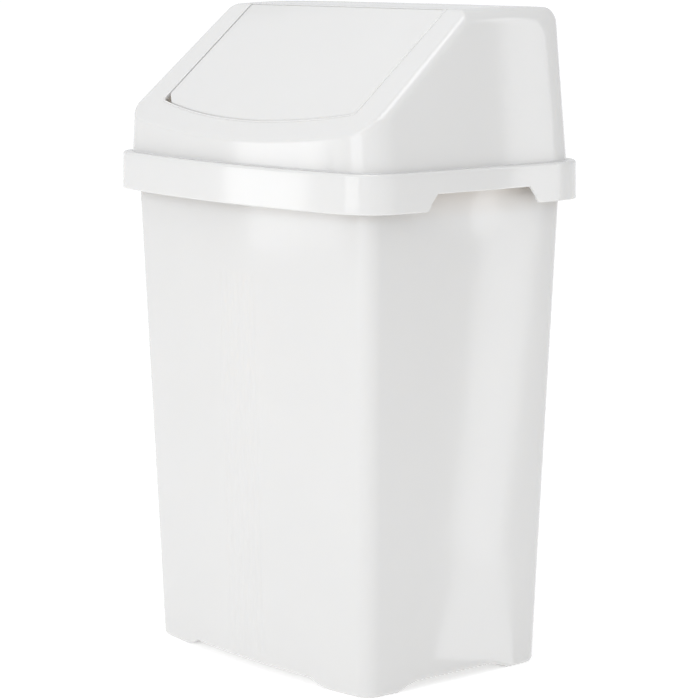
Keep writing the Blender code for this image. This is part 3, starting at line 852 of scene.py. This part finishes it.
def add_window_lip(shell, outer, inner, columns):
    """The window's edge: a bead over from the outer face, then down its wall and back to the inner face. On
    the roof's side it is a plain small round."""
    left, right = columns
    outer_loop = window_vertices(outer, columns)
    inner_loop = window_vertices(inner, columns)
    up = Vector((0.0, math.cos(SLOPE_ANGLE), math.sin(SLOPE_ANGLE)))
    inwards = Vector((0.0, math.sin(SLOPE_ANGLE), -math.cos(SLOPE_ANGLE)))
    side_count = right - left
    rise_count = WINDOW_HIGH - WINDOW_LOW
    count = len(outer_loop)
    steps = []
    for k in range(count):
        across = along = 0.0
        if k <= side_count:
            along = OPENING_LIP
        if side_count <= k <= side_count + rise_count:
            across = -OPENING_LIP
        if side_count + rise_count <= k <= 2 * side_count + rise_count:
            along = -ROOF_LIP
        if k >= 2 * side_count + rise_count or k == 0:
            across = OPENING_LIP
        on_roof = along < 0
        if 0 < k < side_count:
            before, after = outer_loop[k - 1].co, outer_loop[k + 1].co
            way = Vector((after.x - before.x, (after - before).dot(up))).normalized()
            across, along = -way.y * OPENING_LIP, way.x * OPENING_LIP
        move = Vector((across, 0.0, 0.0)) + up * along
        depth = LID_WALL if on_roof else OPENING_LIP_DEPTH
        steps.append((outer_loop[k].co.copy(), move, ROOF_LIP if on_roof else OPENING_LIP, depth))
    rows = []
    for step in range(1, LIP_STEPS + 1):
        row = []
        for at, move, size, depth in steps:
            if size == ROOF_LIP:
                angle = math.pi / 2 * step / LIP_STEPS
                row.append(at + move * math.sin(angle) + inwards * (size * (1 - math.cos(angle))))
            else:
                angle = math.pi * step / LIP_STEPS
                over = move * (0.5 - 0.5 * math.cos(angle))
                row.append(at + over - inwards * (LIP_BEAD * math.sin(angle)))
        rows.append(row)
    rows.append([at + move + inwards * (depth - LIP_EDGE) for at, move, size, depth in steps])
    rows.append([at + move * 0.75 + inwards * depth for at, move, size, depth in steps])
    rows.append([at + move * 0.15 + inwards * depth for at, move, size, depth in steps])
    made = [outer_loop] + [shell.row(row) for row in rows] + [inner_loop]
    for low, high in zip(made, made[1:]):
        shell.join(low, high)


def hood_seat(row):
    """A ledge row drawn back at the front, so that it ends inside the hood's wall all the way round."""
    back = max(y for x, y, z in row)
    depth = back - min(y for x, y, z in row)
    return [(x, back + (y - back) * (1 - SEAT_SQUASH / depth), z) for x, y, z in row]


def add_skirt(shell):
    """The skirt from under the ledge, down its inside, round its edge and up its outside, and over the ledge
    into the hood's wall."""
    wall = LID_WALL
    half_wall = wall / 2
    top = ledge_z - skirt_z
    rows = [[(x, y, ledge_z - wall) for x, y, z in hood_seat(skirt_row(top, SEAT_INSET))]]
    rows.append([(x, y, ledge_z - wall) for x, y, z in skirt_row(top, wall + half_wall)])
    rows.append([(x, y, ledge_z - wall - half_wall) for x, y, z in skirt_row(top, wall)])
    for share in (0.75, 0.5, 0.25, 0.1):
        rows.append(skirt_row(top * share, wall))
    for angle in quarter(4):
        rows.append(skirt_row(half_wall * (1 - math.sin(angle)), wall - half_wall * (1 - math.cos(angle))))
    for angle in reversed(quarter(4)[:-1]):
        rows.append(skirt_row(half_wall * (1 - math.sin(angle)), half_wall * (1 - math.cos(angle))))
    for share in (0.08, 0.2, 0.35, 0.5, 0.65, 0.8):
        rows.append(skirt_row(top * share, 0.0))
    for angle in quarter(6):
        height = top - SKIRT_EDGE_ROUND * (1 - math.sin(angle))
        rows.append(skirt_row(height, SKIRT_EDGE_ROUND * (1 - math.cos(angle))))
    rows.append([(x, y, ledge_z) for x, y, z in hood_seat(skirt_row(top, SEAT_INSET))])
    shell.rows(rows)


def add_hood_root(shell, foot):
    """The round where the hood's wall meets the ledge outside. It ends a little below the ledge's top."""
    base = [tuple(vert.co) for vert in foot]
    rows = [foot]
    for angle in quarter(4)[1:]:
        row = offset_loop(base, ROOT_ROUND * (1 - math.cos(angle)))
        height = ledge_z + ROOT_ROUND * (1 - math.sin(angle)) - ROOT_DIP * math.sin(angle)
        rows.append(shell.row([(x, y, height) for x, y, z in row]))
    for low, high in zip(rows, rows[1:]):
        shell.join(low, high)


def around_pivot(radius, x, count, turn=0.0):
    """A circle about the flap's pivot at x."""
    points = []
    for k in range(count):
        angle = math.tau * k / count + turn
        points.append((x, pivot.y + radius * math.cos(angle), pivot.z + radius * math.sin(angle)))
    return points


def lug_loop(x, grow):
    """The outline of a socket lug at x: flat against the rail, rounded below."""
    points = []
    c = math.cos(SLOPE_ANGLE)
    s = math.sin(SLOPE_ANGLE)
    half = LUG_LENGTH / 2 + grow
    rail = PIVOT_DEPTH - LID_WALL / 2
    for k in range(LUG_POINTS):
        angle = math.tau * k / LUG_POINTS
        across = half * math.cos(angle)
        out = half * LUG_ROUND * math.sin(angle)
        if out > 0:
            scale = rail / max(math.sin(angle), LUG_FLAT)
            out = min(scale * math.sin(angle), rail)
            across = half * max(min(math.cos(angle) * LUG_SQUARE, 1.0), -1.0)
        points.append((x, pivot.y + across * c - out * s, pivot.z + across * s + out * c))
    return points


def add_lugs(shell):
    """A lug with a socket for the flap's pin, inside the hood on each side of the opening."""
    hole = PIN_RADIUS + PIN_CLEARANCE
    for side in (1, -1):
        low = side * (opening_half_width + LUG_GAP)
        high = side * (opening_half_width + LUG_GAP + LUG_WIDTH)
        edge = side * LUG_EDGE
        rows = [around_pivot(hole, low, LUG_POINTS, SLOPE_ANGLE)]
        rows += [lug_loop(low, -LUG_EDGE), lug_loop(low + edge, 0.0)]
        rows += [lug_loop(high - edge, 0.0), lug_loop(high, -LUG_EDGE)]
        rows += [around_pivot(hole, x, LUG_POINTS, SLOPE_ANGLE) for x in (high, low)]
        shell.rows(rows)


def build_lid(plastic):
    shell = Shell()
    outer, foot, columns = add_hood(shell, 0.0, ledge_z + ROOT_ROUND)
    inner = add_hood(shell, LID_WALL, ledge_z - LID_WALL)[0]
    add_window_lip(shell, outer, inner, columns)
    add_hood_root(shell, foot)
    add_skirt(shell)
    add_lugs(shell)
    item = shell.finish("lid_hood_moulding", "lid", plastic)
    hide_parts("lid_hood")


# ---- Flap ----------------------------------------------------------------------------------------------


def flap_corners(inset):
    """The flap's outline on the slope, as (across, along), counter-clockwise, with a shallow curved foot."""
    half = flap_half_width - inset
    foot = flap_foot + inset
    top = flap_top - inset
    shrink = FLAP_CORNER_SHRINK * inset
    left_corner = FLAP_CORNER - shrink
    right_corner = max(FLAP_RIGHT_CORNER - shrink, FLAP_LEAST_CORNER)
    high_corner = max(FLAP_TOP_CORNER - shrink, FLAP_LEAST_CORNER)
    points = []
    for step in range(FLAP_FOOT_STEPS + 1):
        x = lerp(left_corner - half, half - right_corner, step / FLAP_FOOT_STEPS)
        points.append((x, foot + sill_curve * x**2))
    left_side = foot + sill_curve * (half - left_corner) ** 2 + CORNER_CUT * left_corner
    right_side = foot + sill_curve * (half - right_corner) ** 2 + CORNER_CUT * right_corner
    points += [(half, right_side), (half, top - high_corner), (half - high_corner, top)]
    return points + [(high_corner - half, top), (-half, top - high_corner), (-half, left_side)]


def soften(points, radius):
    """Rounds a loop's sharp corners, each with the same number of points."""
    result = []
    count = len(points)
    for k in range(count):
        before = Vector(points[k - 1])
        at = Vector(points[k])
        after = Vector(points[(k + 1) % count])
        arrive = (at - before).normalized()
        leave = (after - at).normalized()
        turn = math.acos(max(-1.0, min(1.0, arrive.dot(leave))))
        if turn < SOFT_FROM:
            result.append(tuple(at))
            continue
        most = SOFT_SHARE * min((at - before).length, (after - at).length)
        reach = min(radius * math.tan(turn / 2), most)
        start = at - arrive * reach
        end = at + leave * reach
        for step in range(SOFT_STEPS + 1):
            t = step / SOFT_STEPS
            result.append(tuple(start * (1 - t) ** 2 + at * (2 * t * (1 - t)) + end * t**2))
    return result


def flap_row(inset, depth):
    points = soften(flap_corners(inset), max(FLAP_SOFT_CORNER - inset, FLAP_LEAST_SOFT))
    return [slope_place(along, depth, across) for across, along in points]


def add_tail(shell):
    """The curved tail behind the flap's top edge, an arc about the pivot, with rounded edges."""
    corner = slope_place(flap_top, TAIL_DEPTH)
    start = math.atan2(corner.z - pivot.z, corner.y - pivot.y)
    top_edge = slope_place(flap_top, 0.0) - pivot
    outer = math.hypot(top_edge.y, top_edge.z) - TAIL_INSET
    inner = outer - FLAP_WALL
    width = flap_half_width - FLAP_TOP_CORNER
    side = 1 - TAIL_EDGE / width
    section = [(outer - TAIL_EDGE, -1), (outer, -side), (outer, side), (outer - TAIL_EDGE, 1)]
    section += [(inner + TAIL_EDGE, 1), (inner, side), (inner, -side), (inner + TAIL_EDGE, -1)]
    rows = []
    for step in range(TAIL_STEPS + 1):
        angle = start - TAIL_ANGLE * step / TAIL_STEPS
        row = []
        for radius, share in section:
            y = pivot.y + radius * math.cos(angle)
            z = pivot.z + radius * math.sin(angle)
            row.append((share * width, y, z))
        rows.append(row)
    made = shell.rows(rows)
    shell.cap(made[0])
    shell.cap(made[-1])


def add_pins(shell):
    """An ear and a stub pin at each side of the flap, about the pivot."""
    for side in (1, -1):
        inside = side * (flap_half_width - EAR_WIDTH)
        face = side * (flap_half_width - EAR_EDGE)
        tip = side * (flap_half_width + PIN_REACH)
        edge = side * EAR_EDGE
        rings = [(EAR_RADIUS - EAR_EDGE, inside), (EAR_RADIUS, inside + edge)]
        rings += [(EAR_RADIUS, face - edge), (EAR_RADIUS - EAR_EDGE, face)]
        rings += [(PIN_RADIUS + PIN_ROOT, face), (PIN_RADIUS, face + side * PIN_ROOT)]
        rings += [(PIN_RADIUS, tip - side * PIN_TIP), (PIN_RADIUS - PIN_TIP, tip)]
        made = shell.rows([around_pivot(radius, x, PIN_POINTS) for radius, x in rings])
        shell.cap(made[0])
        shell.cap(made[-1])


def build_flap(plastic):
    shell = Shell()
    edge = FLAP_EDGE_ROUND
    wall = FLAP_WALL
    deep = FLAP_EDGE_DEPTH
    rows = []
    for angle in quarter(6):
        rows.append(flap_row(edge * (1 - math.sin(angle)), edge * (1 - math.cos(angle))))
    rows += [flap_row(0.0, deep - FLAP_LIP_ROUND), flap_row(FLAP_LIP_ROUND, deep)]
    rows += [flap_row(wall - FLAP_LIP_ROUND, deep), flap_row(wall, deep - FLAP_LIP_ROUND)]
    rows += [flap_row(wall, wall + FLAP_INNER_ROUND), flap_row(wall + FLAP_INNER_ROUND, wall)]
    made = shell.rows(rows)
    shell.cap(made[0])
    shell.cap(made[-1])
    add_tail(shell)
    add_pins(shell)
    item = shell.finish("swing_flap_moulding", "flap", plastic)
    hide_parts("swing_flap")


# ---- Stage, lights and camera --------------------------------------------------------------------------


def area_light(name, place, target, size, energy):
    data = bpy.data.lights.new(name, "AREA")
    data.shape = "RECTANGLE"
    data.size, data.size_y = size
    data.energy = energy
    data.color = COOL
    item = bpy.data.objects.new(name, data)
    item.location = place
    item.rotation_euler = (Vector(target) - Vector(place)).to_track_quat("-Z", "Y").to_euler()
    bpy.context.scene.collection.objects.link(item)
    return item


def glow_panel(name, place, target, size, energy):
    """A panel that only shows as a reflection in the glossy plastic."""
    item = area_light(name, place, target, size, energy)
    item.visible_diffuse = False
    item.visible_camera = False
    return item


def inner_glow():
    """The light that a thin white wall lets through, as one soft lamp in the middle of the bin."""
    data = bpy.data.lights.new("inner_glow", "POINT")
    data.energy = INNER_GLOW
    data.color = WARM
    data.shadow_soft_size = INNER_GLOW_RADIUS
    item = bpy.data.objects.new("inner_glow", data)
    item.location = INNER_GLOW_PLACE
    item.visible_glossy = False
    item.visible_camera = False
    bpy.context.scene.collection.objects.link(item)


def streak_light():
    """An upright strip beside the right wall, leaning a little, that only shows as a reflection in it."""
    aim = Vector(STREAK_AIM)
    place = aim + STREAK_DISTANCE * Vector((math.cos(STREAK_TURN), math.sin(STREAK_TURN), 0.0))
    item = glow_panel("side_streak", place, aim, STREAK_SIZE, STREAK_ENERGY)
    turn = item.rotation_euler.to_quaternion() @ Quaternion((0.0, 0.0, 1.0), STREAK_LEAN)
    item.rotation_euler = turn.to_euler()


def floor_streak():
    """A strip lying on the floor beside the right wall: its reflection lightens the foot of the wall."""
    way = Vector((math.cos(FLOOR_STREAK_TURN), math.sin(FLOOR_STREAK_TURN), 0.0))
    place = Vector((STREAK_AIM[0], STREAK_AIM[1], FLOOR_STREAK_HEIGHT)) + way * FLOOR_STREAK_DISTANCE
    up = place + Vector((0, 0, 1))
    item = glow_panel("floor_streak", place, up, FLOOR_STREAK_SIZE, FLOOR_STREAK_ENERGY)
    item.rotation_euler = (math.pi, 0.0, FLOOR_STREAK_TURN)


def build_stage():
    bm = bmesh.new()
    bmesh.ops.create_grid(bm, x_segments=1, y_segments=1, size=FLOOR_SIZE)
    mesh = bpy.data.meshes.new("floor")
    bm.to_mesh(mesh)
    bm.free()
    floor = bpy.data.objects.new("floor", mesh)
    bpy.context.scene.collection.objects.link(floor)
    material = bpy.data.materials.new("floor")
    material.use_nodes = True
    shader = material.node_tree.nodes["Principled BSDF"]
    shader.inputs["Base Color"].default_value = (0.9, 0.9, 0.9, 1.0)
    shader.inputs["Roughness"].default_value = 0.9
    shader.inputs["Specular IOR Level"].default_value = 0.1
    shader.inputs["Emission Color"].default_value = (1.0, 1.0, 1.0, 1.0)
    shader.inputs["Emission Strength"].default_value = FLOOR_GLOW
    mesh.materials.append(material)


def build_world():
    world = bpy.data.worlds.new("studio")
    bpy.context.scene.world = world
    world.use_nodes = True
    background = world.node_tree.nodes["Background"]
    background.inputs["Color"].default_value = (*COOL, 1.0)
    background.inputs["Strength"].default_value = WORLD_STRENGTH


def build_camera():
    data = bpy.data.cameras.new("camera")
    data.lens = CAMERA_LENS
    data.sensor_width = 36.0
    item = bpy.data.objects.new("camera", data)
    item.location = CAMERA_PLACE
    item.rotation_euler = (math.pi / 2 - CAMERA_RISE, 0.0, CAMERA_TURN)
    bpy.context.scene.collection.objects.link(item)
    bpy.context.scene.camera = item


def build_lights():
    for name, (place, target, size, energy) in SOFT_PANELS.items():
        area_light(name, place, target, size, energy)
    for name, (place, target, size, energy) in GLOW_PANELS.items():
        glow_panel(name, place, target, size, energy)
    streak_light()
    floor_streak()
    inner_glow()


# ---- The scene, put together ---------------------------------------------------------------------------

# The body's colour carries painted shade from a little below the skirt's edge upwards
body_plastic = moulded_plastic("body_plastic", BODY_COLOUR, BODY_ROUGHNESS, skirt_z - PAINTED_SHADE_DROP)
lid_plastic = moulded_plastic("lid_plastic", LID_COLOUR, LID_ROUGHNESS)
flap_plastic = moulded_plastic("flap_plastic", LID_COLOUR, LID_ROUGHNESS)
build_body(body_plastic)
build_lid(lid_plastic)
build_flap(flap_plastic)
build_stage()
build_world()
build_camera()
build_lights()
bpy.context.scene.view_settings.view_transform = "Standard"
